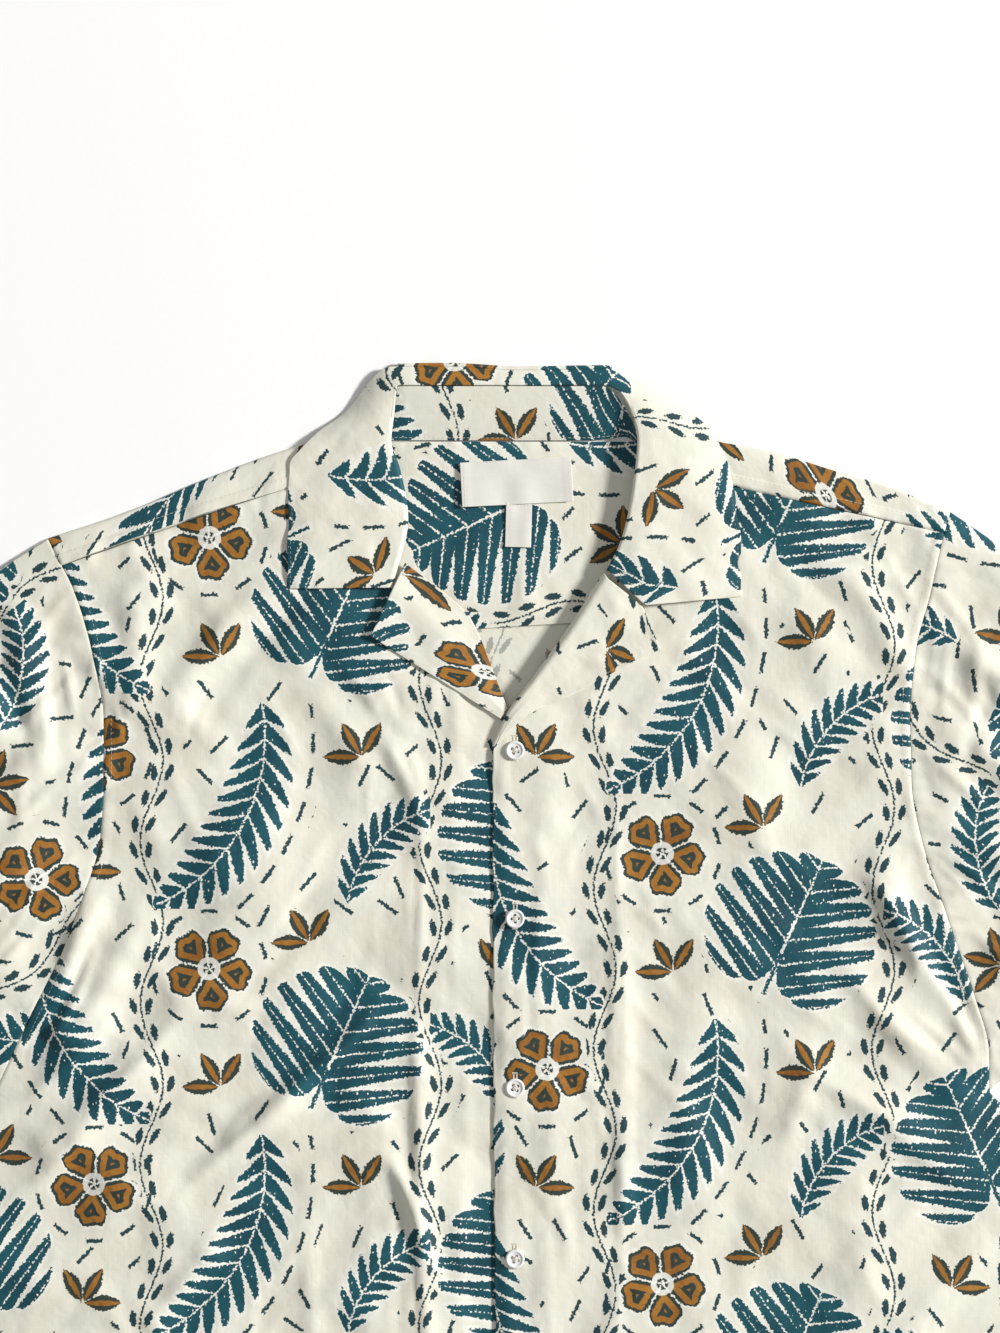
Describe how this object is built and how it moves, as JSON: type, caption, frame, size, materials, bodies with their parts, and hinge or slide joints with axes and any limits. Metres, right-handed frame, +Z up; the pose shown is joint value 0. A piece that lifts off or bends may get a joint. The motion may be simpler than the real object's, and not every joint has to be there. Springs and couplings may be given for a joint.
{
  "type": "short-sleeved camp-collar shirt",
  "caption": "Short-sleeved tropical print shirt with an open camp collar, buttoned and laid flat on its back; its layers lie on each other.",
  "frame": {"origin": "on the surface that the shirt lies on, below the middle of its outline", "axes": "+X towards the wearer's left, across the sleeves; +Y from the hem to the collar; +Z up, away from the surface"},
  "size_m": [0.8678, 0.74, 0.0127],
  "materials": {
    "printed_cloth": "smooth viscose with a soft sheen, printed",
    "label_white": "woven satin, blank",
    "button_pearl": "polished pearl"
  },
  "bodies": {
    "root": {"back": "printed_cloth", "yoke": "printed_cloth", "inner_yoke": "printed_cloth", "front_right": "printed_cloth", "front_left": "printed_cloth", "facing_right": "printed_cloth", "facing_left": "printed_cloth", "collar_stand": "printed_cloth", "collar": "printed_cloth", "sleeve_right": "printed_cloth", "sleeve_left": "printed_cloth", "label": "label_white", "care_tab": "label_white", "button_1": "button_pearl", "button_2": "button_pearl", "button_3": "button_pearl", "button_4": "button_pearl", "button_5": "button_pearl"}
  },
  "joints": []
}
